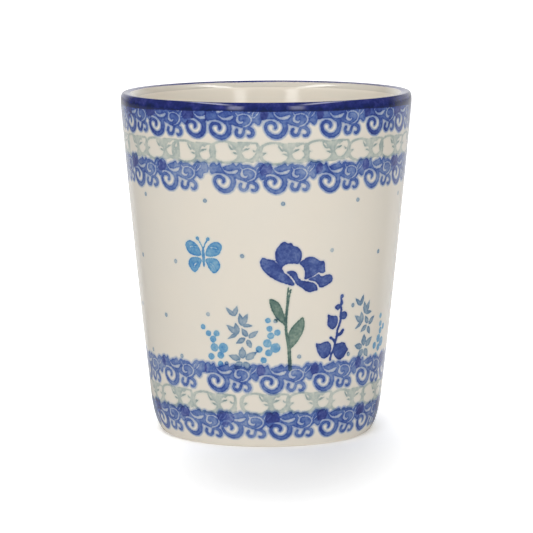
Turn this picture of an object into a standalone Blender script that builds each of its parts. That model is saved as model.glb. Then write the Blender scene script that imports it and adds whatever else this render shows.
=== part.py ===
"""Handle-less glazed stoneware tumbler, as the fired layers that make it up.

Metres, +Z up. The origin is the centre of the foot, on the surface the tumbler stands on.

The form follows one line, the skin profile: from the middle of the inside floor out to the inside
wall, up and over the lip, and down the outside to the glaze edge just above the foot. Each layer
is that line moved into the clay by the layers that lie over it, so the layers stay parallel:

    glaze_coat        clear glaze over everything but the foot
    cobalt_rim_band   brushed cobalt colour around the lip, under the glaze
    stoneware_body    the clay wall, floor and foot ring
    base_glaze        glaze in the recess inside the foot ring
"""

import math

import bpy
from mathutils import Vector

MM = 0.001

# Driving dimensions
HEIGHT = 95.8 * MM
TOP_RADIUS = 41.05 * MM         # outside wall, carried up to full height
WALL_TAPER = 0.083              # outside radius lost per unit of depth below the top
WALL_BOW = 0.174                # further loss per metre of depth squared, which bows the wall out
WALL_THICKNESS = 4.4 * MM       # at the top, with its glaze
WALL_THICKENING = 0.012         # thickness gained per unit of depth below the top
CREST_SETBACK = 1.15 * MM       # the lip's crest, in from the outside wall carried up
OUTER_LIP_DEPTH = 4.0 * MM      # the outside starts to round over this far below the crest
INNER_LIP_DEPTH = 2.8 * MM      # the inside rounds over more gently
HEEL_HEIGHT = 12.0 * MM         # the outside starts to curve in to the foot here
HEEL_TURN_HEIGHT = 2.4 * MM     # height of the sharp corner that the heel curve rounds off
FOOT_RADIUS = 29.2 * MM         # where the heel curve would meet the ground
FOOT_RING_WIDTH = 2.8 * MM      # flat, unglazed clay that the tumbler stands on
FOOT_RING_BEVEL = 0.5 * MM
RECESS_DEPTH = 2.2 * MM         # of the underside, inside the foot ring
RECESS_FILLET = 1.2 * MM
FLOOR_HEIGHT = 7.6 * MM         # of the inside floor
FLOOR_CORNER = 8.5 * MM         # radius between the inside floor and wall

# Layers
GLAZE = 0.35 * MM
GLAZE_EDGE_HEIGHT = 0.5 * MM    # the foot is wiped clean below this
BAND = 0.15 * MM
BAND_INNER_SHARE = 0.2          # of the lip's inner curve, from the crest, that the band covers
BAND_OUTER_SHARE = 0.75         # and of its outer curve
LAYER_GAP = 0.05 * MM           # keeps neighbouring layers from touching

# Heights that follow from the driving dimensions
OUTER_LIP_HEIGHT = HEIGHT - OUTER_LIP_DEPTH
INNER_LIP_HEIGHT = HEIGHT - INNER_LIP_DEPTH
CORNER_TOP = FLOOR_HEIGHT + FLOOR_CORNER

# Fineness of the model
SEGMENTS = 72
WALL_STEPS = 5
HEEL_STEPS = 4
OUTER_LIP_STEPS = 8
INNER_LIP_STEPS = 10
CORNER_STEPS = 4
FILLET_STEPS = 2
AXIS_MERGE = 0.00001

# Surface colours and roughness
CLAY = ((0.60, 0.52, 0.42), 0.80)
COBALT = ((0.020, 0.035, 0.130), 0.15)
GLAZED_CREAM = ((0.72, 0.68, 0.60), 0.12)


def clear_scene():
    for item in list(bpy.data.objects):
        bpy.data.objects.remove(item, do_unlink=True)


def outside_radius(height):
    depth = HEIGHT - height
    return TOP_RADIUS - WALL_TAPER * depth - WALL_BOW * depth * depth


def inside_radius(height):
    depth = HEIGHT - height
    return outside_radius(height) - WALL_THICKNESS - WALL_THICKENING * depth


def wall(radius_at, start_height, end_height):
    """Points along a wall between two heights, both ends included."""
    points = []
    for step in range(WALL_STEPS + 1):
        height = start_height + (end_height - start_height) * step / WALL_STEPS
        points.append(Vector((radius_at(height), height)))
    return points


def arc(centre, radius, start_degrees, end_degrees, steps):
    """Points on a circular arc, both ends included: 0 degrees is outwards and 90 is up."""
    points = []
    for step in range(steps + 1):
        angle = math.radians(start_degrees + (end_degrees - start_degrees) * step / steps)
        points.append(centre + Vector((math.cos(angle), math.sin(angle))) * radius)
    return points


def bend(start, corner, end, steps, last=1.0):
    """Points on a curve that rounds off a corner, from its start to a share of the way to its end."""
    points = []
    for step in range(steps + 1):
        t = last * step / steps
        points.append(start * (1 - t) ** 2 + corner * 2 * t * (1 - t) + end * t * t)
    return points


def heel():
    """The curve from the outside wall in towards the foot, ended at the glaze edge."""
    top = Vector((outside_radius(HEEL_HEIGHT), HEEL_HEIGHT))
    slope = WALL_TAPER + 2 * WALL_BOW * (HEIGHT - HEEL_HEIGHT)
    turn = Vector((top.x - slope * (HEEL_HEIGHT - HEEL_TURN_HEIGHT), HEEL_TURN_HEIGHT))
    ground = Vector((FOOT_RADIUS, 0.0))
    # height along the curve is a quadratic in its share, solved for the glaze edge
    curving = top.y - 2 * turn.y
    last = (top.y - turn.y - math.sqrt(turn.y ** 2 + curving * GLAZE_EDGE_HEIGHT)) / curving
    return bend(top, turn, ground, HEEL_STEPS, last)


def inner_lip():
    """The lip's gentle inner curve, from the inside wall up to the crest."""
    start = Vector((inside_radius(INNER_LIP_HEIGHT), INNER_LIP_HEIGHT))
    corner = Vector((inside_radius(HEIGHT), HEIGHT))
    return bend(start, corner, Vector((TOP_RADIUS - CREST_SETBACK, HEIGHT)), INNER_LIP_STEPS)


def outer_lip():
    """The lip's tighter outer curve, from the crest down to the outside wall."""
    end = Vector((outside_radius(OUTER_LIP_HEIGHT), OUTER_LIP_HEIGHT))
    corner = Vector((TOP_RADIUS, HEIGHT))
    return bend(Vector((TOP_RADIUS - CREST_SETBACK, HEIGHT)), corner, end, OUTER_LIP_STEPS)


def skin_profile():
    """The finished surface in three runs: inside, the part the cobalt band covers, and outside."""
    middle = Vector((0.0, FLOOR_HEIGHT))
    corner_centre = Vector((inside_radius(CORNER_TOP) - FLOOR_CORNER, CORNER_TOP))
    corner = arc(corner_centre, FLOOR_CORNER, -90, 0, CORNER_STEPS)
    inner_wall = wall(inside_radius, CORNER_TOP, INNER_LIP_HEIGHT)[1:-1]
    lip = inner_lip() + outer_lip()[1:]
    band_start = INNER_LIP_STEPS - round(INNER_LIP_STEPS * BAND_INNER_SHARE)
    band_end = INNER_LIP_STEPS + round(OUTER_LIP_STEPS * BAND_OUTER_SHARE) + 1
    inside = [middle] + corner + inner_wall + lip[:band_start]
    outside = lip[band_end:] + wall(outside_radius, OUTER_LIP_HEIGHT, HEEL_HEIGHT)[1:] + heel()[1:]
    return inside, lip[band_start:band_end], outside


def recess_profile():
    """The underside's recess in the clay, from the foot ring's inner edge to the middle."""
    edge_radius = FOOT_RADIUS - GLAZE - FOOT_RING_WIDTH - FOOT_RING_BEVEL
    edge = Vector((edge_radius, FOOT_RING_BEVEL))
    fillet_centre = Vector((edge_radius - RECESS_FILLET, RECESS_DEPTH - RECESS_FILLET))
    return [edge] + arc(fillet_centre, RECESS_FILLET, 0, 90, FILLET_STEPS) + [Vector((0.0, RECESS_DEPTH))]


def moved_in(profile, distance):
    """The profile moved into the clay, each straight stretch by exactly the distance."""
    normals = []
    for start, end in zip(profile, profile[1:]):
        along = (end - start).normalized()
        normals.append(Vector((along.y, -along.x)))
    moved = [profile[0] + normals[0] * distance]
    for point, before, after in zip(profile[1:], normals, normals[1:]):
        middle = (before + after).normalized()
        moved.append(point + middle * (distance / middle.dot(after)))
    moved.append(profile[-1] + normals[-1] * distance)
    return moved


def plain_material(name, colour, roughness):
    material = bpy.data.materials.new(name)
    material.use_nodes = True
    shader = material.node_tree.nodes["Principled BSDF"]
    shader.inputs["Base Color"].default_value = (*colour, 1.0)
    shader.inputs["Roughness"].default_value = roughness
    shader.inputs["Metallic"].default_value = 0.0
    return material


def turned(name, points, surface, collection):
    """A solid turned about Z. The points run down its outer side, and join up unless on the axis."""
    edges = [(index, index + 1) for index in range(len(points) - 1)]
    if points[0].x > 0.0:
        edges.append((len(points) - 1, 0))
    mesh = bpy.data.meshes.new(name)
    mesh.from_pydata([(point.x, 0.0, point.y) for point in points], edges, [])
    mesh.materials.append(plain_material(name, *surface))
    solid = bpy.data.objects.new(name, mesh)
    collection.objects.link(solid)
    screw = solid.modifiers.new("Turn", "SCREW")
    screw.axis = "Z"
    screw.angle = math.tau
    screw.steps = SEGMENTS
    screw.render_steps = SEGMENTS
    screw.use_merge_vertices = True
    screw.merge_threshold = AXIS_MERGE
    screw.use_smooth_shade = True


def add_glaze_coat(collection):
    inside, banded, outside = skin_profile()
    skin = inside + banded + outside
    points = skin + moved_in(skin, GLAZE)[::-1]
    turned("glaze_coat", points, GLAZED_CREAM, collection)


def add_cobalt_rim_band(collection):
    inside, banded, outside = skin_profile()
    skin = inside + banded + outside
    first = len(inside)
    end = first + len(banded)
    face = moved_in(skin, GLAZE + LAYER_GAP)[first:end]
    back = moved_in(skin, GLAZE + LAYER_GAP + BAND)[first:end]
    turned("cobalt_rim_band", face + back[::-1], COBALT, collection)


def add_stoneware_body(collection):
    inside, banded, outside = skin_profile()
    skin = inside + banded + outside
    first = len(inside)
    end = first + len(banded)
    under_glaze = moved_in(skin, GLAZE + LAYER_GAP)
    under_band = moved_in(skin, GLAZE + LAYER_GAP + BAND + LAYER_GAP)
    foot_outer = Vector((FOOT_RADIUS - GLAZE, 0.0))
    foot_inner = Vector((FOOT_RADIUS - GLAZE - FOOT_RING_WIDTH, 0.0))
    points = under_glaze[:first] + under_band[first:end] + under_glaze[end:]
    points += [foot_outer, foot_inner] + recess_profile()
    turned("stoneware_body", points, CLAY, collection)


def add_base_glaze(collection):
    recess = recess_profile()[1:]
    top = moved_in(recess, -LAYER_GAP)
    bottom = moved_in(recess, -LAYER_GAP - GLAZE)
    turned("base_glaze", top[::-1] + bottom, GLAZED_CREAM, collection)


def main():
    clear_scene()
    collection = bpy.data.collections.new("stoneware_tumbler")
    bpy.context.scene.collection.children.link(collection)
    add_stoneware_body(collection)
    add_cobalt_rim_band(collection)
    add_glaze_coat(collection)
    add_base_glaze(collection)


main()
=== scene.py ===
"""Looks for the handle-less stoneware tumbler: stamped borders and a painted garden under clear glaze.

The script works in millimetres and turns them into metres when it makes a mesh or places a lamp.
A place on the outside is an angle, in degrees to the right of the front (-Y), and a height.

The decoration is made the way a potter makes it. Each stamp is carved once, as a small field that
holds the distance to the edge of its raised face. It is then pressed onto the wall again and again,
and each press leaves an edge distance and an amount of colour in the mesh. The glaze material turns
those into pigment that absorbs light over the cream clay.
"""

import math

import bpy
import numpy as np
from mathutils import Matrix, Vector


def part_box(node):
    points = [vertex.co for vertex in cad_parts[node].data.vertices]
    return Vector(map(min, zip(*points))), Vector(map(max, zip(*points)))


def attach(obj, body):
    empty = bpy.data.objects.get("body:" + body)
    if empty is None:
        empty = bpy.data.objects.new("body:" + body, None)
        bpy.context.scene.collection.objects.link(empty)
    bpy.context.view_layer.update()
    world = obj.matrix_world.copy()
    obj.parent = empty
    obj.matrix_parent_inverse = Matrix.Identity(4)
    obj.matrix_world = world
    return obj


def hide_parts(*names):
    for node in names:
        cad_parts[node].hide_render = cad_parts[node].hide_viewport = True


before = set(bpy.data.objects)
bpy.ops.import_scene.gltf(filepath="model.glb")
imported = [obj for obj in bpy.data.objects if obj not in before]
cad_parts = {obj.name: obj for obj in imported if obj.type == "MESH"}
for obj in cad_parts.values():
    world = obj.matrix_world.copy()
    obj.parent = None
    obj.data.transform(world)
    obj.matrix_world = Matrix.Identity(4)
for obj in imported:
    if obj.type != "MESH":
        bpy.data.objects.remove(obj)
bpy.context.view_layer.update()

MM = 0.001

# ---------------------------------------------------------------- form

# The profile's driving dimensions, in mm, are those of the CAD
TOP_RADIUS = 41.05
WALL_THICKNESS = 4.4
WALL_THICKENING = 0.012
WALL_TAPER = 0.083
WALL_BOW = 0.000174
CREST_SETBACK = 1.15
OUTER_LIP_DEPTH = 4.0
INNER_LIP_DEPTH = 2.8
HEEL_HEIGHT = 12.0
HEEL_TURN_HEIGHT = 2.4
FOOT_RADIUS = 29.2
FLOOR_HEIGHT = 7.6
FLOOR_CORNER = 8.5
FOOT_RING_WIDTH = 2.8
FOOT_RING_BEVEL = 0.5
RECESS_FILLET = 1.2
GLAZE = 0.35
LAYER_GAP = 0.05
OUT_OF_LEVEL = 0.2      # the lip of a hand-finished cup rises this much on its right
RUBBED_OUTER = (0.25, 0.16)     # where the foot ring's rubbed edges start, from its flat: out and up
RUBBED_INNER = (-0.18, 0.05)

# Heights and edges that the frame gives
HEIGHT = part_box("glaze_coat")[1].z / MM
GLAZE_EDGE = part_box("glaze_coat")[0].z / MM
BASE_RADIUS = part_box("base_glaze")[1].x / MM
BASE_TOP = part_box("base_glaze")[1].z / MM
BAND_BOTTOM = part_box("cobalt_rim_band")[0].z / MM
BAND_INSIDE = -1.8      # length from the crest, down the inside, where the cobalt band ends


def outside_radius(height):
    depth = HEIGHT - height
    return TOP_RADIUS - WALL_TAPER * depth - WALL_BOW * depth * depth


def inside_radius(height):
    depth = HEIGHT - height
    return outside_radius(height) - WALL_THICKNESS - WALL_THICKENING * depth


def arc(centre, radius, start_degrees, end_degrees, steps=60):
    """Rows of (radius, height) along a circular arc: 0 degrees is outwards and 90 is up."""
    angles = np.radians(np.linspace(start_degrees, end_degrees, steps + 1))
    return np.stack([centre[0] + radius * np.cos(angles), centre[1] + radius * np.sin(angles)], -1)


def wall(radius_at, start_height, end_height, steps=300):
    heights = np.linspace(start_height, end_height, steps + 1)
    return np.stack([radius_at(heights), heights], -1)


def bend(start, corner, end, last=1.0, steps=120):
    """A curve that rounds off a corner, from its start to a share of the way to its end."""
    t = np.linspace(0, last, steps + 1)[:, None]
    return np.array(start) * (1 - t) ** 2 + np.array(corner) * 2 * t * (1 - t) + np.array(end) * t * t


def heel():
    """The curve from the outside wall in towards the foot, down to the glaze edge."""
    top = (outside_radius(HEEL_HEIGHT), HEEL_HEIGHT)
    slope = WALL_TAPER + 2 * WALL_BOW * (HEIGHT - HEEL_HEIGHT)
    turn = (top[0] - slope * (HEEL_HEIGHT - HEEL_TURN_HEIGHT), HEEL_TURN_HEIGHT)
    curving = HEEL_HEIGHT - 2 * HEEL_TURN_HEIGHT
    root = math.sqrt(HEEL_TURN_HEIGHT ** 2 + curving * GLAZE_EDGE)
    return bend(top, turn, (FOOT_RADIUS, 0.0), (HEEL_HEIGHT - HEEL_TURN_HEIGHT - root) / curving)


class Skin:
    """The finished surface, from the middle of the inside floor to the glaze edge at the foot.

    A place on it is a length along the profile: 0 on the lip's crest, growing down the outside, and
    negative down the inside.
    """

    def __init__(self):
        corner_top = FLOOR_HEIGHT + FLOOR_CORNER
        corner_centre = (inside_radius(corner_top) - FLOOR_CORNER, corner_top)
        inner_lip, outer_lip = HEIGHT - INNER_LIP_DEPTH, HEIGHT - OUTER_LIP_DEPTH
        crest = (TOP_RADIUS - CREST_SETBACK, HEIGHT)
        inside = [
            np.array([[0.0, FLOOR_HEIGHT]]), arc(corner_centre, FLOOR_CORNER, -90, 0),
            wall(inside_radius, corner_top, inner_lip)[1:],
            bend((inside_radius(inner_lip), inner_lip), (inside_radius(HEIGHT), HEIGHT), crest)[1:],
        ]
        outside = [
            bend(crest, (TOP_RADIUS, HEIGHT), (outside_radius(outer_lip), outer_lip))[1:],
            wall(outside_radius, outer_lip, HEEL_HEIGHT)[1:], heel()[1:],
        ]
        self.points = np.concatenate(inside + outside)
        steps = np.linalg.norm(np.diff(self.points, axis=0), axis=1)
        self.lengths = np.concatenate([[0.0], np.cumsum(steps)])
        crest_row = sum(len(run) for run in inside) - 1
        self.lengths -= self.lengths[crest_row]
        self.outside = slice(crest_row, None)

    def at(self, lengths):
        radius = np.interp(lengths, self.lengths, self.points[:, 0])
        height = np.interp(lengths, self.lengths, self.points[:, 1])
        return np.stack([radius, height], -1)

    def length_at(self, height):
        """Length down the outside at a height."""
        run = self.points[self.outside, 1][::-1]
        return float(np.interp(height, run, self.lengths[self.outside][::-1]))

    def inwards(self, lengths, distance):
        """Points on the profile moved into the clay."""
        step = 0.02
        along = self.at(lengths + step) - self.at(lengths - step)
        along /= np.linalg.norm(along, axis=1)[:, None]
        return self.at(lengths) + np.stack([along[:, 1], -along[:, 0]], -1) * distance


SKIN = Skin()


# ---------------------------------------------------------------- carving stamps

# A stamp is drawn in (u, v): mm to the right and up from the point that lands on its place on the wall.
# The butterfly and the speck are drawn freely. The other outlines follow measured ones.
CARVE = 0.06          # mm between the points of a carved stamp
FAR = 3.0             # mm, an edge distance that counts as no colour


def smooth(points, closed=False, steps=6):
    """A Catmull-Rom curve through rows of numbers. Extra columns, such as widths, are carried along."""
    points = np.array(points, float)
    if closed:
        padded = np.concatenate([points[-1:], points, points[:2]])
    else:
        padded = np.concatenate([2 * points[:1] - points[1:2], points, 2 * points[-1:] - points[-2:-1]])
    t = np.linspace(0, 1, steps, endpoint=False)[None, :, None]
    a, b, c, d = (padded[i:len(padded) - 3 + i, None, :] for i in range(4))
    bent, twisted = 2 * a - 5 * b + 4 * c - d, 3 * b - a - 3 * c + d
    curve = 0.5 * (2 * b + (c - a) * t + bent * t ** 2 + twisted * t ** 3)
    curve = curve.reshape(-1, points.shape[1])
    return curve if closed else np.concatenate([curve, points[-1:]])


def along_segments(place, start, end):
    """Share along each segment that is nearest to each place, and the distance to it."""
    reach = end - start
    offset = place[:, None, :] - start[None]
    share = np.clip((offset * reach).sum(-1) / np.maximum((reach * reach).sum(-1), 1e-9), 0, 1)
    return share, np.linalg.norm(offset - share[..., None] * reach, axis=-1)


def stroke(*points):
    """A line of (u, v, half width) points with round ends."""
    line = smooth(points)

    def distance(place):
        share, gap = along_segments(place, line[:-1, :2], line[1:, :2])
        return (gap - line[:-1, 2] - share * (line[1:, 2] - line[:-1, 2])).min(1)

    return distance


def shape(*points):
    """A filled, rounded outline through (u, v) points."""
    start = smooth(points, closed=True, steps=5)
    end = np.roll(start, -1, axis=0)

    def distance(place):
        gap = along_segments(place, start, end)[1].min(1)
        u, v = place[:, :1], place[:, 1:]
        crosses = (start[:, 1] > v) != (end[:, 1] > v)
        rise = np.where(end[:, 1] == start[:, 1], 1e-9, end[:, 1] - start[:, 1])
        left = u < (end[:, 0] - start[:, 0]) * (v - start[:, 1]) / rise + start[:, 0]
        inside = (crosses & left).sum(1) % 2 == 1
        return np.where(inside, -gap, gap)

    return distance


def dot(u, v, radius):
    def distance(place):
        return np.hypot(place[:, 0] - u, place[:, 1] - v) - radius

    return distance


def leaf(base, tip, half_width):
    """A lens with a blunt base and a pointed tip."""
    base, tip = np.array(base, float), np.array(tip, float)
    along = tip - base
    across = np.array([-along[1], along[0]]) / np.linalg.norm(along) * half_width
    half = [(0.0, 0.15), (0.12, 0.62), (0.32, 0.97), (0.52, 0.95), (0.72, 0.66), (0.9, 0.26)]
    one_side = [base + along * t + across * w for t, w in half]
    other_side = [base + along * t - across * w for t, w in half[::-1]]
    return shape(*one_side, tip, *other_side)


class Stamp:
    """A carved stamp: distances to the edge of its raised face, over a box of (u, v) in mm."""

    def __init__(self, low, high, raised, cut=()):
        self.low = np.array(low, float)
        self.count = np.ceil((np.array(high) - self.low) / CARVE).astype(int) + 1
        u = self.low[0] + np.arange(self.count[0]) * CARVE
        v = self.low[1] + np.arange(self.count[1]) * CARVE
        place = np.stack(np.meshgrid(u, v, indexing="ij"), -1).reshape(-1, 2)
        face = np.min([part(place) for part in raised], axis=0)
        for groove in cut:
            face = np.maximum(face, -groove(place))
        self.face = face.reshape(self.count)
        corners = np.array([low, high], float)
        self.reach = np.abs(corners).max(0)

    def at(self, u, v):
        x = (u - self.low[0]) / CARVE
        y = (v - self.low[1]) / CARVE
        inside = (x >= 0) & (y >= 0) & (x < self.count[0] - 1) & (y < self.count[1] - 1)
        x = np.clip(x, 0, self.count[0] - 1.001)
        y = np.clip(y, 0, self.count[1] - 1.001)
        i, j = x.astype(int), y.astype(int)
        x, y = x - i, y - j
        face = self.face
        low = face[i, j] * (1 - x) + face[i + 1, j] * x
        high = face[i, j + 1] * (1 - x) + face[i + 1, j + 1] * x
        return np.where(inside, low * (1 - y) + high * y, FAR)


def scroll_stamp():
    """One wave of the border: a large spiral, a plume, a small spiral and two curls under it."""
    block = shape(
        (-3.3, 2.45), (-2.1, 2.6), (-0.8, 2.68), (0.4, 2.42), (1.5, 1.75), (2.6, 0.9), (3.4, 1.42),
        (4.6, 0.98), (5.8, 0.6), (7.0, 0.25), (8.5, 0.45), (9.2, 1.15), (9.8, 1.7), (10.4, 1.2),
        (11.0, 0.95), (11.6, 1.5), (11.9, 2.4), (13.0, 2.7), (13.5, 3.7), (13.2, 5.0), (12.4, 5.75),
        (11.2, 5.5), (10.2, 5.8), (9.4, 5.3), (8.6, 4.4), (7.7, 4.9), (6.6, 5.15), (5.6, 5.1), (5.0, 5.5),
        (4.3, 5.25), (3.8, 4.75), (3.3, 5.4), (2.8, 5.5), (2.2, 5.1), (1.3, 4.9), (0.3, 4.45),
        (-0.35, 4.6), (-0.6, 5.3), (-1.0, 5.5), (-1.6, 4.9), (-2.2, 5.45), (-3.3, 5.2), (-3.8, 3.9))
    spiral = stroke(
        (2.3, 1.9, 0.5), (2.85, 1.0, 0.7), (2.9, 0.0, 0.72), (2.45, -1.15, 0.7), (1.5, -1.95, 0.66),
        (0.3, -2.15, 0.6), (-0.95, -1.65, 0.52), (-1.95, -0.7, 0.46), (-2.35, 0.35, 0.43),
        (-2.15, 1.2, 0.45), (-1.5, 1.72, 0.46), (-0.65, 1.72, 0.43), (0.1, 1.3, 0.45), (0.35, 0.6, 0.42),
        (0.15, 0.15, 0.3))
    left_curl = stroke(
        (5.0, -0.15, 0.42), (4.75, -0.95, 0.42), (5.3, -1.7, 0.44), (6.15, -1.75, 0.44),
        (6.7, -1.15, 0.4), (6.9, -0.4, 0.38), (7.2, 0.25, 0.36))
    right_curl = stroke(
        (7.2, 0.3, 0.36), (8.15, 0.28, 0.42), (9.0, -0.15, 0.5), (9.35, -1.0, 0.5), (9.0, -1.75, 0.44),
        (8.35, -1.95, 0.36), (7.95, -1.7, 0.27))
    grooves = [
        stroke((-0.25, 4.4, 0.08), (0.3, 3.65, 0.16), (1.1, 3.05, 0.26), (2.2, 2.88, 0.38),
               (3.3, 3.08, 0.48), (4.1, 3.55, 0.24)),
        stroke((4.95, 4.75, 0.08), (5.1, 4.15, 0.14), (5.5, 3.75, 0.16)),
        stroke((5.55, 3.6, 0.18), (5.3, 3.0, 0.3), (5.3, 2.3, 0.38), (5.85, 1.85, 0.34),
               (6.45, 1.8, 0.24), (6.8, 2.15, 0.1)),
        stroke((5.4, 3.7, 0.14), (6.3, 4.03, 0.15), (7.3, 4.06, 0.16), (8.3, 3.7, 0.19),
               (8.95, 2.95, 0.21), (8.95, 2.05, 0.21), (8.35, 1.27, 0.2), (7.5, 0.82, 0.16),
               (6.7, 0.66, 0.09)),
        stroke((9.25, 3.05, 0.08), (9.35, 3.95, 0.12), (9.95, 4.7, 0.1)),
        stroke((9.55, 2.9, 0.08), (10.2, 3.45, 0.14), (10.85, 4.15, 0.12), (11.1, 4.7, 0.08)),
    ]
    return Stamp((-4.6, -3.4), (14.3, 6.5), [block, spiral, left_curl, right_curl], grooves)


NET_CELL = [(-3.9, 0.1), (-3.35, 1.9), (-1.9, 2.7), (0.2, 2.85), (1.6, 2.3), (2.4, 1.2), (3.2, 0.5),
            (3.5, -0.9), (2.6, -2.15), (0.3, -2.8), (-1.9, -2.5), (-3.4, -1.5)]
NET_SIDE_CELL = [(4.6, 1.0), (5.5, 2.1), (7.0, 2.45), (8.4, 2.3), (8.6, 0.9), (8.0, -0.8), (6.6, -1.9),
                 (5.2, -1.6), (4.4, -0.3)]


def net_stamp():
    """One large cell of the pale net, the smaller one beside it, and the veins in and around them."""
    lines = [
        stroke(*[(u, v, 0.24) for u, v in NET_CELL + NET_CELL[:1]]),
        stroke(*[(u, v, 0.17) for u, v in NET_SIDE_CELL + NET_SIDE_CELL[:1]]),
        stroke((-4.0, -0.9, 0.4), (-3.7, -0.3, 0.5), (-3.1, 0.05, 0.32), (-2.6, 0.15, 0.12)),
        stroke((3.6, -0.7, 0.24), (2.8, -0.3, 0.26), (2.0, -0.1, 0.1)),
        stroke((0.7, 2.7, 0.14), (1.1, 1.7, 0.2), (1.7, 0.9, 0.26), (2.3, 0.9, 0.24), (3.2, 0.5, 0.2)),
        stroke((2.4, 2.0, 0.1), (2.0, 1.4, 0.18), (2.2, 0.9, 0.16)),
        stroke((4.1, 2.8, 0.14), (3.9, 1.2, 0.16), (4.0, -0.2, 0.16), (3.7, -1.6, 0.18)),
        stroke((4.5, 0.2, 0.2), (5.2, 0.7, 0.3), (6.0, 0.9, 0.2), (6.5, 1.1, 0.08)),
        stroke((8.5, 0.4, 0.16), (7.9, 0.3, 0.24), (7.4, 0.7, 0.12)),
        stroke((5.4, 2.1, 0.16), (5.9, 1.9, 0.24), (6.6, 2.3, 0.16)),
        stroke((2.4, -2.5, 0.14), (4.0, -2.2, 0.2), (5.3, -2.3, 0.14), (6.9, -2.7, 0.12)),
        stroke((8.0, -0.8, 0.14), (8.7, -1.5, 0.2), (9.1, -2.4, 0.14)),
    ]
    return Stamp((-4.9, -3.4), (9.7, 3.6), lines)


def net_wash_stamp():
    """The thin wash of colour that lies between the cells of the net."""
    bed = shape(
        (-4.5, 1.6), (-3.4, 2.5), (-1.8, 3.1), (0.4, 3.2), (2.2, 2.8), (4.4, 2.9), (6.2, 2.9), (7.6, 2.8),
        (9.0, 2.4), (9.3, -0.4), (8.9, -2.2), (7.2, -2.8), (5.6, -2.6), (4.2, -3.0), (2.2, -2.9),
        (0.2, -3.2), (-2.2, -2.9), (-3.9, -1.9), (-4.6, -0.4))
    return Stamp((-5.1, -3.8), (9.9, 3.8), [bed], [shape(*NET_CELL), shape(*NET_SIDE_CELL)])


def poppy_stamp():
    petals = [
        shape((-4.9, 2.7), (-4.9, 5.6), (-3.7, 7.4), (-2.5, 8.15), (-1.7, 7.6), (-0.8, 7.7), (-0.1, 6.9),
              (0.9, 6.6), (2.0, 5.4), (2.2, 3.8), (1.75, 2.4), (1.1, 1.85), (0.2, 2.0), (-1.6, 1.95),
              (-2.8, 1.4), (-3.5, 0.4), (-4.6, 1.0)),
        shape((-8.4, 3.75), (-9.1, 2.5), (-8.7, 0.9), (-7.5, -0.6), (-5.9, -1.85), (-4.1, -2.85),
              (-2.0, -3.6), (-0.2, -4.15), (0.35, -3.7), (-0.3, -2.7), (-1.35, -1.45), (-2.5, -0.45),
              (-3.2, 0.7), (-4.3, 2.0), (-5.4, 3.0), (-7.1, 3.3)),
        shape((1.65, 2.05), (2.7, 2.95), (3.8, 3.6), (5.3, 3.7), (6.6, 3.0), (7.6, 2.4), (8.6, 2.35),
              (9.0, 1.4), (9.0, 0.3), (9.1, -0.7), (8.1, -1.0), (7.1, -0.75), (6.0, -1.5), (4.8, -2.05),
              (3.2, -2.45), (3.3, -1.0), (2.8, 0.7)),
        shape((4.3, -2.55), (6.0, -1.85), (7.1, -1.2), (8.2, -1.9), (9.6, -1.5), (10.9, -1.6),
              (11.6, -2.6), (11.3, -3.6), (10.2, -4.3), (8.8, -4.9), (7.7, -4.9), (7.2, -4.1), (6.2, -3.2)),
        shape((1.8, -2.75), (3.0, -2.95), (4.4, -3.2), (5.9, -3.65), (6.8, -4.5), (7.05, -5.6), (5.9, -5.9),
              (4.7, -6.1), (3.5, -5.6), (2.6, -4.85), (1.6, -4.25), (0.95, -3.6)),
        shape((-1.9, -0.3), (-0.4, 0.0), (0.9, -0.7), (1.4, -2.0), (2.2, -2.8), (1.7, -4.1), (0.9, -3.7),
              (0.1, -2.4), (-0.9, -1.2)),
    ]
    gaps = [stroke((-5.5, 3.2, 0.16), (-4.8, 2.55, 0.12), (-4.1, 1.9, 0.06)),
            stroke((1.3, 2.3, 0.05), (1.5, 1.9, 0.12))]
    return Stamp((-9.9, -6.9), (12.4, 9.0), petals, gaps)


def stalk_stamp():
    """The poppy's stem and two leaves, placed from the same point as the flower."""
    parts = [
        stroke((-1.35, -4.6, 0.2), (-1.55, -7.0, 0.2), (-1.6, -9.6, 0.28), (-1.85, -13.9, 0.36),
               (-1.6, -17.6, 0.38), (-0.85, -21.3, 0.48), (-0.35, -27.4, 0.5)),
        stroke((-0.65, -5.1, 0.22), (-1.1, -7.4, 0.2), (-1.5, -10.4, 0.26)),
        shape((-6.5, -7.7), (-5.4, -7.75), (-3.9, -8.7), (-2.8, -10.9), (-2.0, -13.2), (-2.0, -15.0),
              (-3.3, -14.1), (-4.8, -12.7), (-5.9, -10.6), (-6.5, -8.7)),
        shape((2.9, -12.9), (1.3, -14.2), (-0.3, -15.9), (-1.0, -17.6), (-0.9, -20.4), (-0.6, -21.8),
              (1.0, -20.4), (2.5, -18.4), (3.5, -16.0), (3.5, -13.9)),
    ]
    return Stamp((-7.3, -28.2), (4.4, -4.0), parts)


def berry_stamp():
    berries = [(-3.15, 5.6, 0.68), (-1.6, 3.85, 0.76), (0.8, 4.0, 0.8), (-0.3, 2.3, 0.86), (0.0, 0.0, 1.06),
               (2.6, 0.05, 1.25), (1.75, -2.1, 0.9), (-1.05, -2.6, 0.86), (1.6, -4.6, 0.8)]
    return Stamp((-4.5, -6.1), (4.5, 7.0), [dot(u, v, 1.08 * radius) for u, v, radius in berries])


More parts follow.
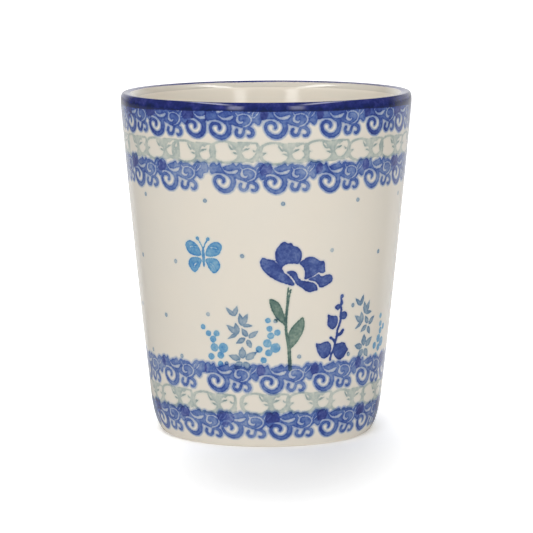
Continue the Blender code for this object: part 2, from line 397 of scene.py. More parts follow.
def leaf_spray_stamp():
    leaves = [
        ((-0.25, 0.45), (-0.3, 3.8), 0.88), ((0.7, 0.3), (3.6, 2.4), 0.82),
        ((-0.9, 0.2), (-4.1, 1.1), 0.74), ((-0.4, -0.6), (-2.7, -2.7), 0.8),
        ((0.2, -0.5), (2.0, -3.0), 0.8),
        ((1.0, 6.7), (-0.45, 9.0), 0.64), ((1.5, 6.4), (4.0, 8.4), 0.62), ((0.5, 6.2), (-2.0, 4.6), 0.62),
        ((1.05, 5.8), (2.2, 3.4), 0.62),
        ((-1.5, 7.3), (-4.6, 9.7), 0.66), ((-1.5, 7.3), (-2.15, 10.5), 0.66),
        ((-1.6, 7.4), (-4.3, 5.8), 0.42), ((-0.4, 9.7), (-1.05, 13.2), 0.62),
        ((-0.4, 9.7), (1.2, 13.2), 0.66), ((-0.4, 9.8), (2.6, 9.8), 0.45),
        ((-2.5, 12.3), (-4.7, 14.6), 0.5), ((-2.5, 12.3), (-1.6, 15.2), 0.56),
    ]
    return Stamp((-5.5, -3.8), (5.0, 16.0), [leaf(base, tip, 1.18 * width) for base, tip, width in leaves])


def bell_spray_stamp():
    """A stem of dark bells, with buds towards its tip."""
    parts = [
        stroke((-1.0, -2.4, 0.34), (-0.75, -1.0, 0.3), (0.05, 0.7, 0.34), (0.35, 2.6, 0.3),
               (0.75, 4.3, 0.32), (0.8, 5.8, 0.32), (1.3, 7.2, 0.33), (1.65, 8.7, 0.33),
               (1.5, 10.2, 0.3), (1.7, 11.5, 0.3),
               (1.4, 12.5, 0.34), (1.7, 13.5, 0.42), (1.4, 14.6, 0.3), (1.6, 15.3, 0.55)),
        shape((-0.4, 12.4), (0.3, 13.0), (1.1, 13.1), (1.3, 12.2), (0.7, 11.5), (0.1, 11.7)),
        dot(2.65, 9.8, 1.1),
        shape((-2.5, 10.4), (-1.1, 10.0), (0.3, 9.8), (0.75, 8.8), (0.6, 7.4), (0.0, 6.6), (-0.9, 6.2),
              (-2.0, 6.9), (-2.5, 7.9), (-2.4, 9.2)),
        stroke((1.1, 4.5, 0.32), (1.95, 4.7, 0.48), (2.6, 5.6, 0.42)),
        stroke((0.3, 2.3, 0.3), (-0.45, 3.3, 0.32), (-1.2, 3.8, 0.36)),
        shape((-5.6, 2.5), (-4.4, 2.35), (-3.2, 2.75), (-2.0, 2.8), (-1.1, 1.95), (-0.85, 0.6),
              (-1.3, -0.9), (-2.2, -1.65), (-3.2, -1.9), (-4.3, -1.1), (-5.2, 0.5)),
        shape((0.5, 1.85), (1.7, 2.0), (2.7, 2.2), (3.7, 1.8), (4.3, 0.8), (5.0, -0.1), (4.3, -0.9),
              (3.8, -1.8), (2.8, -2.5), (1.7, -2.5), (0.75, -1.8), (0.0, -0.7), (-0.1, 0.7)),
    ]
    gap = stroke((0.95, 9.9, 0.1), (1.05, 8.9, 0.12), (0.85, 8.1, 0.08))
    return Stamp((-6.3, -3.3), (5.8, 16.6), parts, [gap])


def butterfly_stamp():
    """A plain butterfly seen from above: one half, mirrored about its body."""
    prints = [stroke((0.0, 2.4, 0.3), (0.0, 0.0, 0.42), (0.0, -2.6, 0.22))]
    marks = []
    for side in (-1, 1):
        prints += [
            shape((0.75 * side, 0.3), (1.7 * side, 3.1), (4.1 * side, 4.3), (5.6 * side, 3.1),
                  (4.3 * side, 0.6)),
            shape((0.75 * side, -0.6), (3.9 * side, -0.5), (4.9 * side, -2.5), (3.2 * side, -4.5),
                  (1.5 * side, -3.1)),
            stroke((0.2 * side, 2.5, 0.16), (0.8 * side, 3.8, 0.16), (1.6 * side, 4.9, 0.16)),
            dot(1.6 * side, 5.0, 0.5),
        ]
        marks += [
            stroke((2.2 * side, 2.6, 0.1), (3.3 * side, 2.7, 0.16), (4.2 * side, 2.4, 0.1)),
            stroke((2.0 * side, -1.8, 0.1), (2.8 * side, -2.3, 0.16), (3.2 * side, -3.1, 0.1)),
        ]
    return Stamp((-6.2, -6.8), (6.9, 6.7), prints, marks)


def speck_stamp():
    return Stamp((-1.2, -1.2), (1.2, 1.2), [dot(0.0, 0.0, 0.58)])


# ---------------------------------------------------------------- pressing stamps onto the wall

# Colours as they are seen on a screen, from 0 to 255
CREAM = (223, 216, 203)
SHEEN = 0.035         # what the glaze mirrors, on top of any colour
PIGMENTS = {
    "cobalt": (81, 99, 153),
    "deep": (67, 78, 130),
    "azure": (96, 144, 183),
    "slate": (127, 146, 161),
    "leaf": (94, 114, 95),
    "net": (156, 167, 159),
    "rim": (36, 49, 93),
}
DEEPEST = (0.008, 0.015, 0.048)      # the darkest that cobalt gets, however thick it lies
OVERLAP_INK = np.array([2.2, 2.4, 1.0])     # what overlapping scrolls absorb on top of their own
NO_END = 99.0         # mm, past the right of every stamp
PRESS_SPREAD = 0.8    # mm that a press's pigment bleeds past its edge into the glaze
BLEED = {"brush": 0.02, "scroll": 0.36, "net": 0.15, "garden": 0.06}      # and how much of it does


def linear(colour):
    share = np.array(colour, float) / 255
    return np.where(share <= 0.04045, share / 12.92, ((share + 0.055) / 1.055) ** 2.4)


def absorbed(colour):
    """How strongly a pigment at full load absorbs red, green and blue, so that cream turns into it."""
    return -np.log(np.maximum(linear(colour) - SHEEN, 0.004) / (linear(CREAM) - SHEEN))


def falling(value, start, end):
    """1 up to start, then smoothly down to 0 at end."""
    share = np.clip((value - start) / (end - start), 0, 1)
    return 1 - share * share * (3 - 2 * share)


class Layer:
    """One kind of decoration over a grid of wall points: edge distance and ink at each point."""

    def __init__(self, grid):
        self.grid = grid
        self.edge = np.full(grid.count, FAR)
        self.presses = np.zeros(grid.count)
        self.thickness = np.zeros(grid.count)
        self.ink = np.zeros((*grid.count, 3))

    def window(self, angle, length, reach):
        """Rows and columns within reach of a place, and the place's own (u, v) over them."""
        radius = SKIN.at(length)[0]
        turn = (self.grid.angles - math.radians(angle) + math.pi) % math.tau - math.pi
        columns = np.nonzero(np.abs(turn) * radius < reach)[0]
        rows = np.nonzero(np.abs(self.grid.lengths - length) < reach)[0]
        u, v = np.meshgrid(turn[columns] * radius, length - self.grid.lengths[rows])
        return np.ix_(rows, columns), u, v

    def add(self, where, distance, load, ink):
        spread = falling(distance, 0.5 * PRESS_SPREAD, PRESS_SPREAD)
        self.edge[where] = np.minimum(self.edge[where], distance)
        self.presses[where] += spread
        self.thickness[where] += load * falling(distance, -0.1, 0.2)
        self.ink[where] += (load * spread)[..., None] * ink

    def press(self, stamp, angle, height, pigment, load=1.0, turn=0.0, dome=0.0, lean=0.0, end=NO_END):
        """dome gathers the colour in the middle of each mark, and lean adds to it per mm to the right.

        A press can miss the wall to the right of its end.
        """
        length = SKIN.length_at(height)
        where, u, v = self.window(angle, length, float(np.linalg.norm(stamp.reach)))
        if u.size == 0:
            return
        cosine, sine = math.cos(math.radians(turn)), math.sin(math.radians(turn))
        distance = np.maximum(stamp.at(u * cosine + v * sine, v * cosine - u * sine), u - end)
        depth = np.clip(-distance, 0, 1)
        load = load * (1 - dome + 2 * dome * depth + lean * u)
        self.add(where, distance, load, absorbed(PIGMENTS[pigment]))

    def settle(self, overlap_ink=0.0):
        """Presses that overlap share one bed of glaze, in which thick colour turns dark and dull."""
        self.ink = self.ink / np.maximum(self.presses, 1.0)[..., None]
        self.ink += np.clip(self.thickness - 1.25, 0, 0.8)[..., None] * overlap_ink


class Grid:
    """Points of a turned surface: rows down the profile and columns around it."""

    def __init__(self, start, end, spacing, columns):
        rows = max(2, math.ceil((end - start) / spacing) + 1)
        self.lengths = np.linspace(start, end, rows)
        self.angles = np.arange(columns) * math.tau / columns
        self.count = (rows, columns)


# Each row has a height, the measured angles of the presses that face the camera and how many more are
# spaced evenly over the rest of the way round. A scroll row ends with its strength of colour.
SCROLL_ROWS = [
    (88.7, [-66.8, -47.9, -28.5, -18.3, 3.1, 25.0, 46.4, 64.8], 12, 1.1),
    (73.9, [-63.1, -42.7, -17.3, 3.1, 25.5, 46.9, 66.3], 11, 0.92),
    (18.3, [-78.0, -51.6, -23.5, 2.1, 27.5, 52.5], 9, 0.92),
    (4.95, [-89.0, -65.0, -40.2, -17.8, 6.6, 32.4, 57.3], 9, 0.96),
]
CUT_SHORT = {-28.5: 3.5}    # a press whose right part was lifted off early, and where it ends in mm
NET_ROWS = [
    (82.3, [-67.3, -49.1, -33.2, -15.8, 3.6, 21.3, 39.9, 57.3, 75.5], 12),
    (12.7, [-76.0, -53.5, -30.2, -4.6, 17.5, 39.4, 61.3], 9),
]
GARDEN_TURNS = (0.0, 180.0)     # the garden is pressed twice, and its angles count from each of these
GARDEN = [
    # stamp, angle, height, pigment, load, turn, dome
    ("butterfly", -27.2, 53.4, "azure", 1.0, 0, 0),
    ("poppy", 11.6, 49.9, "deep", 1.0, 0, 0),
    ("stalk", 11.6, 49.7, "leaf", 1.0, 0, 0),
    ("leaves", -10.4, 25.0, "slate", 1.0, -1, 0),
    ("leaves", 51.6, 26.6, "slate", 1.1, 2, 0),
    ("berries", -24.0, 28.2, "azure", 0.9, 0, 0.22),
    ("berries", 0.5, 29.8, "azure", 0.9, -31, 0.22),
    ("berries", 64.3, 28.1, "azure", 0.9, -29, 0.22),
    ("bells", 32.4, 26.8, "deep", 1.0, 0, 0),
    ("speck", 28.6, 55.1, "slate", 0.4, 0, 0),
]
DOTS = [
    # angle, height
    (-58.8, 69.1), (-25.3, 68.9), (6.8, 68.4), (40.2, 68.5), (71.3, 68.4), (97.0, 69.0),
    (-67.3, 51.5), (-41.9, 51.4), (-10.0, 54.0), (56.1, 53.2), (88.0, 52.0),
    (-51.0, 35.8), (-26.4, 37.4), (4.1, 36.0), (41.7, 39.1), (79.0, 39.5), (-76.0, 37.0),
    (-66.6, 24.7), (-42.5, 24.8), (-18.3, 23.9), (15.2, 25.9), (41.2, 25.4), (88.0, 25.5),
]


def row_angles(front, others):
    """The front's own angles, then the others spread evenly over the rest of the way round."""
    gap = (360 - (front[-1] - front[0])) / (others + 1)
    return front + [front[-1] + gap * (step + 1) for step in range(others)]


def print_scrolls(grid, stamps):
    layer = Layer(grid)
    rng = np.random.default_rng(11)
    for height, front, others, strength in SCROLL_ROWS:
        for angle in row_angles(front, others):
            lift, turn, load = rng.normal(0, 0.12), rng.normal(0, 1.2), strength * rng.uniform(0.95, 1.25)
            end = CUT_SHORT.get(angle, NO_END)
            layer.press(stamps["scroll"], angle, height + lift, "cobalt", load, turn, lean=-0.02, end=end)
    layer.settle(OVERLAP_INK)
    return layer


def print_net(grid, stamps):
    layer = Layer(grid)
    rng = np.random.default_rng(12)
    for height, front, others in NET_ROWS:
        for angle in row_angles(front, others):
            lift, turn, load = rng.normal(0, 0.12), rng.normal(0, 1.5), rng.uniform(1.0, 1.25)
            layer.press(stamps["wash"], angle, height + lift, "net", 0.18 * load, turn)
            layer.press(stamps["net"], angle, height + lift, "net", load, turn)
    layer.settle()
    return layer


def print_garden(grid, stamps):
    layer = Layer(grid)
    rng = np.random.default_rng(13)
    for side in GARDEN_TURNS:
        for name, angle, height, *colour_and_turn in GARDEN:
            layer.press(stamps[name], side + angle, height, *colour_and_turn)
        for angle, height in DOTS:
            layer.press(stamps["speck"], side + angle, height, "slate", rng.uniform(0.45, 0.8), dome=-0.3)
    return layer


def brush_rim(grid):
    """The cobalt band that is brushed around the lip, with the small waver of a hand-held brush."""
    layer = Layer(grid)
    waver = 0.10 * np.sin(5 * grid.angles + 0.4) + 0.07 * np.sin(13 * grid.angles + 2.0)
    deeper = 0.38 * (1 - np.cos(2 * grid.angles))
    outer = SKIN.length_at(BAND_BOTTOM) + waver + deeper
    inner = BAND_INSIDE + 0.15 * np.sin(3 * grid.angles + 1.0) + 0.08 * np.sin(11 * grid.angles)
    length = grid.lengths[:, None]
    layer.edge = np.minimum(np.maximum(length - outer, inner - length), FAR)
    thinner = 0.5 * falling(length - inner, 0.1, 1.3)
    layer.ink = (1 - thinner)[..., None] * absorbed(PIGMENTS["rim"])
    return layer


# ---------------------------------------------------------------- meshes


def turned_mesh(name, profile, columns, closed):
    """A mesh turned about Z from rows of (radius, height) that run down its outer side.

    A row at radius 0 becomes a single point. A closed profile joins its last row to its first.
    """
    angles = np.arange(columns) * math.tau / columns
    points, index = [], []
    total = 0
    for radius, height in profile:
        around = 1 if radius < 1e-6 else columns
        turn = angles[:around]
        ring = [radius * np.sin(turn), -radius * np.cos(turn), np.full(around, height)]
        points.append(np.stack(ring, -1))
        index.append(total + np.arange(columns) % around)
        total += around
    faces = []
    rows = len(profile)
    for row in range(rows if closed else rows - 1):
        upper, lower = index[row], index[(row + 1) % rows]
        quads = np.stack([lower, np.roll(lower, -1), np.roll(upper, -1), upper], -1)
        if lower[0] == lower[-1]:
            quads = quads[:, 1:]
        elif upper[0] == upper[-1]:
            quads = quads[:, :3]
        faces.append(quads)
    points = np.concatenate(points)
    points[:, 2] += OUT_OF_LEVEL * points[:, 0] / TOP_RADIUS * (points[:, 2] / HEIGHT) ** 3
    mesh = bpy.data.meshes.new(name)
    fill_mesh(mesh, points * MM, faces)
    return mesh


def fill_mesh(mesh, points, faces):
    sizes = np.concatenate([np.full(len(group), group.shape[1]) for group in faces])
    corners = np.concatenate([group.ravel() for group in faces])
    mesh.vertices.add(len(points))
    mesh.vertices.foreach_set("co", points.astype(np.float32).ravel())
    mesh.loops.add(len(corners))
    mesh.loops.foreach_set("vertex_index", corners.astype(np.int32))
    mesh.polygons.add(len(sizes))
    starts = np.concatenate([[0], np.cumsum(sizes)[:-1]])
    mesh.polygons.foreach_set("loop_start", starts.astype(np.int32))
    mesh.update(calc_edges=True)
    mesh.validate()
    mesh.shade_smooth()
    mesh.set_sharp_from_angle(angle=math.radians(35))


def add_piece(name, mesh, material, slot, *stands_for):
    piece = bpy.data.objects.new(name, mesh)
    bpy.context.scene.collection.objects.link(piece)
    mesh.materials.append(material)
    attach(piece, "root")
    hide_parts(*stands_for)


def store(mesh, name, layer, back_rows):
    """Writes a layer to the mesh, with no colour on the rows at the back of the glaze."""
    columns = layer.grid.count[1]
    edge = np.concatenate([layer.edge.ravel(), np.full(back_rows * columns, FAR)]).astype(np.float32)
    ink = np.concatenate([layer.ink.reshape(-1, 3), np.zeros((back_rows * columns, 3))]).astype(np.float32)
    mesh.attributes.new(name + "_edge", "FLOAT", "POINT").data.foreach_set("value", edge)
    mesh.attributes.new(name + "_ink", "FLOAT_VECTOR", "POINT").data.foreach_set("vector", ink.ravel())


def add_glaze_shell(name, grid, layers, material, slot, *stands_for):
    """A closed piece of glaze with the decoration on its outer face."""
    back_lengths = np.linspace(grid.lengths[-1], grid.lengths[0], 12)
    profile = np.concatenate([SKIN.at(grid.lengths), SKIN.inwards(back_lengths, GLAZE)])
    mesh = turned_mesh(name, profile, grid.count[1], closed=True)
    for layer_name, layer in layers.items():
        store(mesh, layer_name, layer, len(back_lengths))
    add_piece(name, mesh, material, slot, *stands_for)


# ---------------------------------------------------------------- materials


class Nodes:
    """A tree of shader nodes, built by naming nodes and what goes into them."""

    def __init__(self, tree):
        self.tree = tree

    def node(self, kind, inputs, **settings):
        node = self.tree.nodes.new("ShaderNode" + kind)
        for key, value in settings.items():
            setattr(node, key, value)
        for key, value in inputs.items():
            self.put(node.inputs[key], value)
        return node

    def put(self, socket, value):
        if isinstance(value, bpy.types.NodeSocket):
            self.tree.links.new(value, socket)
        else:
            socket.default_value = value

    def math(self, operation, *values):
        return self.node("Math", dict(enumerate(values)), operation=operation).outputs[0]

    def vector(self, operation, *values):
        """Outputs of vector arithmetic: the first is a vector, and the one named Value is a number."""
        return self.node("VectorMath", dict(enumerate(values)), operation=operation).outputs

    def ramp(self, value, low, high, to_low, to_high, smooth_step=True):
        kind = "SMOOTHSTEP" if smooth_step else "LINEAR"
        inputs = {"Value": value, "From Min": low, "From Max": high, "To Min": to_low, "To Max": to_high}
        return self.node("MapRange", inputs, interpolation_type=kind).outputs[0]


class Material(Nodes):
    """A material whose nodes end in a Principled BSDF."""

    def __init__(self, name):
        self.material = bpy.data.materials.new(name)
        self.material.use_nodes = True
        super().__init__(self.material.node_tree)
        self.shader = self.tree.nodes["Principled BSDF"]

    def set(self, **inputs):
        for key, value in inputs.items():
            self.put(self.shader.inputs[key.replace("_", " ")], value)

    def scaled(self, vector, factor):
        return self.node("VectorMath", {0: vector, "Scale": factor}, operation="SCALE").outputs[0]

    def mix(self, share, first, second):
        inputs = {"Factor": share, "A": first, "B": second}
        return self.node("Mix", inputs, data_type="RGBA").outputs["Result"]

    def place(self):
        """Object coordinates, in metres."""
        return self.node("TexCoord", {}).outputs["Object"]

    def noise(self, per_mm, detail=2.0, roughness=0.5):
        """Noise from 0 to 1 with a number of cells to the millimetre."""
        inputs = {"Vector": self.place(), "Scale": per_mm / MM, "Detail": detail, "Roughness": roughness}
        return self.node("TexNoise", inputs).outputs["Fac"]

    def attribute(self, name):
        return self.node("Attribute", {}, attribute_name=name)

    def bump(self, height, distance_mm, normal=None):
        inputs = {"Height": height, "Distance": distance_mm * MM, "Strength": 1.0}
        if normal:
            inputs["Normal"] = normal
        return self.node("Bump", inputs).outputs[0]


def cream_colour(material, lightness=1.0):
    """The clay's cream seen through the glaze, with faint clouds."""
    cloud = material.ramp(material.noise(0.05, 3), 0.3, 0.7, 0.0, 1.0)
    warm = (0.660 * lightness, 0.608 * lightness, 0.523 * lightness, 1.0)
    cool = (0.643 * lightness, 0.601 * lightness, 0.525 * lightness, 1.0)
    return material.mix(cloud, warm, cool)


def glaze_surface(material, roughness=0.07):
    """Roughness and the slight waviness of a dipped gloss glaze."""
    uneven = material.ramp(material.noise(0.15, 2), 0.3, 0.7, 0.75 * roughness, 1.25 * roughness)
    material.set(Roughness=uneven, IOR=1.5)
    waves = material.bump(material.noise(0.06, 2), 0.05)
    material.set(Normal=material.bump(material.noise(0.9, 1), 0.002, waves))


def decorated_glaze(name, layers):
    """Pigment under the glaze: watery inside each mark, darker along its edge, and bleeding a little."""
    material = Material(name)
    wobble = material.ramp(material.noise(2.2, 2), 0.25, 0.75, -0.09, 0.09, False)
    broad = material.ramp(material.noise(0.3, 3, 0.65), 0.3, 0.7, 0.70, 1.28)
    fine = material.ramp(material.noise(1.4, 3, 0.6), 0.3, 0.7, 0.86, 1.14)
    wash = material.math("MULTIPLY", broad, fine)
    total = None
    for layer in layers:
        edge = material.math("ADD", material.attribute(layer + "_edge").outputs["Fac"], wobble)
        cover = material.ramp(edge, -0.11, 0.15, 1.0, 0.0)
        pooled = material.ramp(edge, -0.55, -0.05, 0.84, 1.14)
        bleed = material.ramp(edge, 0.0, 0.8, BLEED[layer], 0.0)
        marked = material.math("MAXIMUM", material.math("MULTIPLY", cover, pooled), bleed)
        ink = material.scaled(material.attribute(layer + "_ink").outputs["Vector"],
                              material.math("MULTIPLY", marked, wash))
        total = ink if total is None else material.vector("ADD", total, ink)[0]
    split = material.node("SeparateXYZ", {0: total}).outputs
    passed = [material.math("EXPONENT", material.math("MULTIPLY", channel, -1.0)) for channel in split]
    light = material.node("CombineXYZ", dict(enumerate(passed))).outputs[0]
    reach = material.vector("SUBTRACT", cream_colour(material), DEEPEST)[0]
    material.set(Base_Color=material.vector("MULTIPLY_ADD", reach, light, DEEPEST)[0])
    glaze_surface(material)
    return material.material


def plain_glaze(name, lightness=1.0, roughness=0.07, painted_shade=0.0):
    """Cream glaze that can be painted darker by a share towards the bottom, as painted shade inside the cup
    below its lip.
    """
    material = Material(name)
    height = material.node("SeparateXYZ", {0: material.place()}).outputs["Z"]
    # Painted shade: the cream is darker below four fifths of the height.
    share = material.ramp(height, 0.8 * HEIGHT * MM, HEIGHT * MM, 1.0 - painted_shade, 1.0)
    material.set(Base_Color=material.scaled(cream_colour(material, lightness), share))
    glaze_surface(material, roughness)
    return material.material


def fired_clay(name):
    material = Material(name)
    grain = material.ramp(material.noise(4.0, 3, 0.7), 0.35, 0.65, 0.0, 1.0)
    # The clay's pale buff is partly its own colour and partly painted light, so that the foot ring in the
    # shade under the tumbler looks as bright as the glaze above it.
    pale = (0.80, 0.755, 0.68, 1.0)
    dark = (0.72, 0.665, 0.58, 1.0)
    material.set(Base_Color=material.mix(grain, dark, pale), Roughness=0.85)
    material.set(Normal=material.bump(material.noise(5.0, 3, 0.6), 0.03))
    return material.material


# ---------------------------------------------------------------- the tumbler

INSIDE_SEAM = -4.0      # length from the crest where the rim's glaze gives way to the inside's
RIM_SEAM = BAND_BOTTOM - 0.4    # heights where the pieces of the outside meet
GARDEN_TOP = 69.6
GARDEN_BOTTOM = 24.2
SMOOTH_COLUMNS = 256    # of the plain turned pieces under the foot
FILLET_STEPS = 12


def carve_stamps():
    return {
        "scroll": scroll_stamp(), "net": net_stamp(), "wash": net_wash_stamp(), "poppy": poppy_stamp(),
        "stalk": stalk_stamp(), "berries": berry_stamp(), "leaves": leaf_spray_stamp(),
        "bells": bell_spray_stamp(), "butterfly": butterfly_stamp(), "speck": speck_stamp(),
    }


def add_outside(stamps):
    """The glaze outside and over the lip. All its pieces get the same presses, so marks cross the seams."""
    rim, upper, lower, foot = map(SKIN.length_at, (RIM_SEAM, GARDEN_TOP, GARDEN_BOTTOM, GLAZE_EDGE))
    material = decorated_glaze("decorated_glaze", ("brush", "scroll", "net", "garden"))
    bands = [("upper_border_glaze", rim, upper, 0.23, 1100), ("garden_glaze", upper, lower, 0.25, 960),
             ("lower_border_glaze", lower, foot, 0.22, 960)]
    for name, start, end, spacing, columns in bands:
        grid = Grid(start, end, spacing, columns)
        layers = {"brush": brush_rim(grid), "scroll": print_scrolls(grid, stamps),
                  "net": print_net(grid, stamps), "garden": print_garden(grid, stamps)}
        add_glaze_shell(name, grid, layers, material, "clear_glaze", "glaze_coat")
    material = decorated_glaze("rim_glaze", ("brush", "scroll"))
    grid = Grid(INSIDE_SEAM, rim, 0.15, 960)
    layers = {"brush": brush_rim(grid), "scroll": print_scrolls(grid, stamps)}
    add_glaze_shell("cobalt_rim", grid, layers, material, "cobalt_colour", "cobalt_rim_band", "glaze_coat")


def add_inside():
    floor = SKIN.lengths[0]
    lengths = np.linspace(floor, INSIDE_SEAM, 260)
    behind = SKIN.inwards(np.linspace(INSIDE_SEAM, floor, 60), GLAZE)
    behind[-1, 0] = 0.0
    mesh = turned_mesh("inside_glaze", np.concatenate([SKIN.at(lengths), behind]), 360, closed=False)
    # The inside's cream is painted lighter than the outside's near the lip, as painted light, and darker
    # further down, as painted shade.
    material = plain_glaze("inside_glaze", lightness=1.36, roughness=0.10, painted_shade=0.27)
    add_piece("inside_glaze", mesh, material, "clear_glaze", "glaze_coat")


def add_clay():
    """The clay body. Only its foot ring and the recess's side are in sight."""
    foot = SKIN.length_at(GLAZE_EDGE)
    skin = SKIN.inwards(np.linspace(SKIN.lengths[0], foot, 400), GLAZE + LAYER_GAP)
    skin[0, 0] = 0.0
    outer = np.array([FOOT_RADIUS - GLAZE, 0.0])
    inner = outer - (FOOT_RING_WIDTH, 0.0)
    ring = [outer + RUBBED_OUTER, outer, inner, inner + RUBBED_INNER]
    recess_radius = inner[0] - FOOT_RING_BEVEL
    recess_height = BASE_TOP + LAYER_GAP
    fillet_centre = (recess_radius - RECESS_FILLET, recess_height - RECESS_FILLET)
    side = arc(fillet_centre, RECESS_FILLET, 0, 90, FILLET_STEPS)
    recess = np.concatenate([[[recess_radius, FOOT_RING_BEVEL]], side, [[0.0, recess_height]]])
    mesh = turned_mesh("stoneware_foot", np.concatenate([skin, ring, recess]), SMOOTH_COLUMNS, closed=False)
    add_piece("stoneware_foot", mesh, fired_clay("fired_clay"), "clay", "stoneware_body")


def add_base():
    fillet = RECESS_FILLET - LAYER_GAP
    centre = (BASE_RADIUS - fillet, BASE_TOP - fillet)
    upper = arc(centre, fillet, 90, 0, FILLET_STEPS)
    lower = arc(centre, fillet - GLAZE, 0, 90, FILLET_STEPS)
    profile = np.concatenate([[[0.0, BASE_TOP]], upper, lower, [[0.0, BASE_TOP - GLAZE]]])
    mesh = turned_mesh("base_glaze_disc", profile, SMOOTH_COLUMNS, closed=False)
    add_piece("base_glaze_disc", mesh, plain_glaze("base_glaze"), "base_clear_glaze", "base_glaze")


# ---------------------------------------------------------------- stage

# Radiances, in units of a white wall in this light
FILL_LIGHT = 0.11           # what falls on the tumbler from all round
BACKDROP_LIGHT = 0.85       # what its glaze mirrors from behind it, above the floor
BACKDROP_FLOOR = 0.5        # and what the floor adds there, besides the light that falls on it
STUDIO_LIGHT = 0.12         # what its glaze mirrors from everywhere else
SWEEP_LIGHT = 1.08          # the white that the camera sees
FLOOR_GLOW = 0.42           # light that the floor throws up, besides what falls on it

WHITE = (1.0, 1.0, 1.0, 1.0)
BACKDROP_MIDDLE = (0.174, 0.985, 0.0)       # direction of the mirrored backdrop
BACKDROP_EDGE = (0.53, 0.79)        # cosines of the angles from its middle where it starts and is full
BACKDROP_TOP = (0.25, 0.5)          # upward parts of the directions where it starts to end, and has ended
SHADOW_MIDDLE = (0.004, -0.050, 0.0)        # the painted soft shadow on the floor, which leans to the front
SHADOW_REACH = (0.080, 0.150, 1.0)
SHADOW_FADE = (0.1, 1.1)    # shares of its reach where the shadow starts to end, and has ended
CONTACT = (0.020, 0.036)    # distances from the axis where the painted darkness under the foot starts and ends
FLOOR_REACH = 12.0

CAMERA_PLACE = (0.0001, -0.850, 0.1630)
CAMERA_DIP = 7.829          # degrees that it looks down
CAMERA_LENS = 205.1


def add_floor():
    """A pale floor that turns into the evenly lit white of a studio sweep away from the tumbler."""
    mesh = bpy.data.meshes.new("floor")
    corners = [(x * FLOOR_REACH, y * FLOOR_REACH, 0) for x, y in ((-1, -1), (1, -1), (1, 1), (-1, 1))]
    mesh.from_pydata(corners, [], [(0, 1, 2, 3)])
    floor = bpy.data.objects.new("floor", mesh)
    bpy.context.scene.collection.objects.link(floor)
    material = Material("floor")
    place = material.place()
    ray = material.node("LightPath", {}).outputs

    # What the camera sees of the floor is emitted white, dimmer in a painted shadow in front of the tumbler
    # and under its foot.
    offset = material.vector("SUBTRACT", place, SHADOW_MIDDLE)[0]
    shares = material.vector("DIVIDE", offset, SHADOW_REACH)[0]
    clear = material.ramp(material.vector("LENGTH", shares)["Value"], *SHADOW_FADE, 0.0, SWEEP_LIGHT)
    untouched = material.ramp(material.vector("LENGTH", place)["Value"], *CONTACT, 0.0, 1.0)
    seen = material.math("MULTIPLY", material.math("MULTIPLY", clear, untouched), ray["Is Camera Ray"])

    outwards = material.vector("NORMALIZE", place)[0]
    behind = material.vector("DOT_PRODUCT", outwards, BACKDROP_MIDDLE)["Value"]
    white = material.ramp(behind, *BACKDROP_EDGE, 0.0, BACKDROP_FLOOR)
    mirrored = material.math("MULTIPLY", white, ray["Is Glossy Ray"])

    glow = material.math("MULTIPLY", ray["Is Diffuse Ray"], FLOOR_GLOW)
    strength = material.math("ADD", material.math("ADD", seen, mirrored), glow)
    material.set(Emission_Color=WHITE, Emission_Strength=strength)
    pale = material.math("MULTIPLY_ADD", ray["Is Camera Ray"], 0.09, 0.82)
    pale = material.math("MULTIPLY_ADD", ray["Is Glossy Ray"], -0.3, pale)
    material.set(Base_Color=material.node("CombineColor", {0: pale, 1: pale, 2: pale}).outputs[0])
    material.set(Roughness=0.7, Specular_IOR_Level=0.0)
    mesh.materials.append(material.material)


def add_lamp(name, place, along, facing, width, length, radiance, mirrored=False):
    """A panel with its length along one direction. It lights the scene, or is only mirrored in it.

    Panels that are mirrored fade out towards their ends and sides.
    """
    lamp = bpy.data.lights.new(name, "AREA")
    lamp.shape = "RECTANGLE"
    lamp.size = width
    lamp.size_y = length
    lamp.energy = radiance * math.pi * width * length
    if mirrored:
        fade_out(lamp)
    panel = bpy.data.objects.new(name, lamp)
    back = -Vector(facing)
    along = Vector(along)
    back = (back - along * (back.dot(along) / along.length_squared)).normalized()
    along.normalize()
    panel.location = place
    panel.rotation_euler = Matrix((along.cross(back), along, back)).transposed().to_euler()
    panel.visible_camera = False
    panel.visible_diffuse = not mirrored
    panel.visible_glossy = mirrored
    bpy.context.scene.collection.objects.link(panel)


def fade_out(lamp):
    """Lets a panel's light die away over the third of its width and length next to each edge."""
    lamp.use_nodes = True
    nodes = Nodes(lamp.node_tree)
    place = nodes.node("SeparateXYZ", {0: nodes.node("NewGeometry", {}).outputs["Parametric"]}).outputs
    strength = 1.0
    for axis in "XY":
        for edge, full in ((0.0, 0.35), (1.0, 0.65)):
            strength = nodes.math("MULTIPLY", nodes.ramp(place[axis], edge, full, 0.0, 1.0), strength)
    nodes.put(nodes.tree.nodes["Emission"].inputs["Strength"], strength)


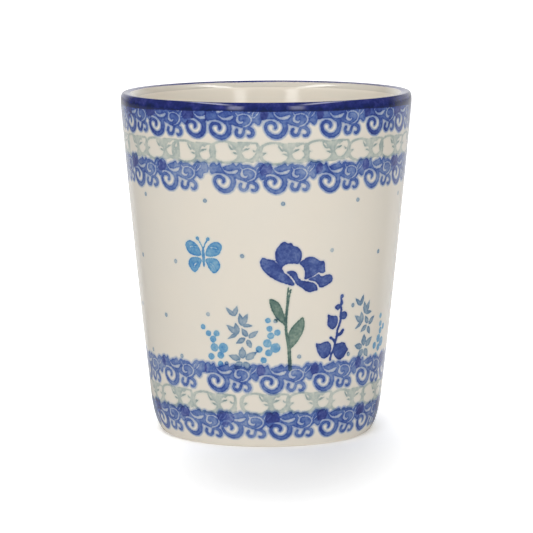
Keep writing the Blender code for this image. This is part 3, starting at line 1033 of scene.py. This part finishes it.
def add_lights():
    """Broad lamps light the tumbler. Narrower ones are only seen as highlights in its glaze."""
    add_lamp("key_low", (0, -1.3, 0.8), (0, 0.5, 1), (0, 1.3, -0.75), 1.0, 0.9, 2.1)
    add_lamp("key_high", (0, -0.9, 1.2), (0, 1.2, 0.9), (0, 0.9, -1.15), 0.9, 0.9, 3.75)
    add_lamp("overhead", (-0.5, 0.1, 1.35), (0, 1, 0), (0.2, 0, -1), 0.8, 0.8, 2.3)
    add_lamp("back", (0, 0.9, 1.1), (0, -1.1, 0.9), (0, -0.9, -1.05), 0.8, 0.8, 1.2)
    for side, radiance in ((-1, 4.6), (1, 4.0)):
        add_lamp("side", (side * 1.2, -0.5, 0.7), (0, 0, 1), (-side * 1.2, 0.5, -0.6), 0.8, 0.8, 1.4)
        front = Vector((side * 0.61, -1.37, 0.38))
        add_lamp("front_panel", front, (0, 0, 1), -front, 0.44, 0.80, radiance, mirrored=True)
        strip, down = (side * 0.5, -0.22, 0.879), (-side * 0.5, 0.1, -0.8)
        add_lamp("side_strip", strip, (0, 1, 0.46), down, 0.26, 1.8, 9.0, mirrored=True)


def add_world():
    """Rays that light the tumbler meet an even fill. Mirrored ones meet a dim studio and its backdrop."""
    world = bpy.data.worlds.new("studio")
    world.use_nodes = True
    world.cycles.sampling_method = "NONE"
    nodes = Nodes(world.node_tree)
    direction = nodes.node("TexCoord", {}).outputs["Generated"]
    upwards = nodes.node("SeparateXYZ", {0: direction}).outputs["Z"]
    behind = nodes.vector("DOT_PRODUCT", direction, BACKDROP_MIDDLE)["Value"]
    ray = nodes.node("LightPath", {}).outputs
    backdrop = nodes.ramp(upwards, *BACKDROP_TOP, BACKDROP_LIGHT, STUDIO_LIGHT)
    mirrored = nodes.ramp(behind, *BACKDROP_EDGE, STUDIO_LIGHT, backdrop)
    lit = nodes.ramp(ray["Is Diffuse Ray"], 0.0, 1.0, mirrored, FILL_LIGHT)
    seen = nodes.ramp(ray["Is Camera Ray"], 0.0, 1.0, lit, SWEEP_LIGHT)
    background = nodes.tree.nodes["Background"].inputs
    nodes.put(background["Strength"], seen)
    nodes.put(background["Color"], WHITE)
    bpy.context.scene.world = world


def add_camera():
    camera = bpy.data.cameras.new("camera")
    camera.lens = CAMERA_LENS
    camera.sensor_width = 36.0
    camera.clip_start = 0.05
    camera.clip_end = 60.0
    view = bpy.data.objects.new("camera", camera)
    view.location = CAMERA_PLACE
    view.rotation_euler = (math.radians(90 - CAMERA_DIP), 0.0, 0.0)
    bpy.context.scene.collection.objects.link(view)
    bpy.context.scene.camera = view


bpy.context.scene.view_settings.view_transform = "Standard"
add_outside(carve_stamps())
add_inside()
add_clay()
add_base()
add_floor()
add_world()
add_lights()
add_camera()
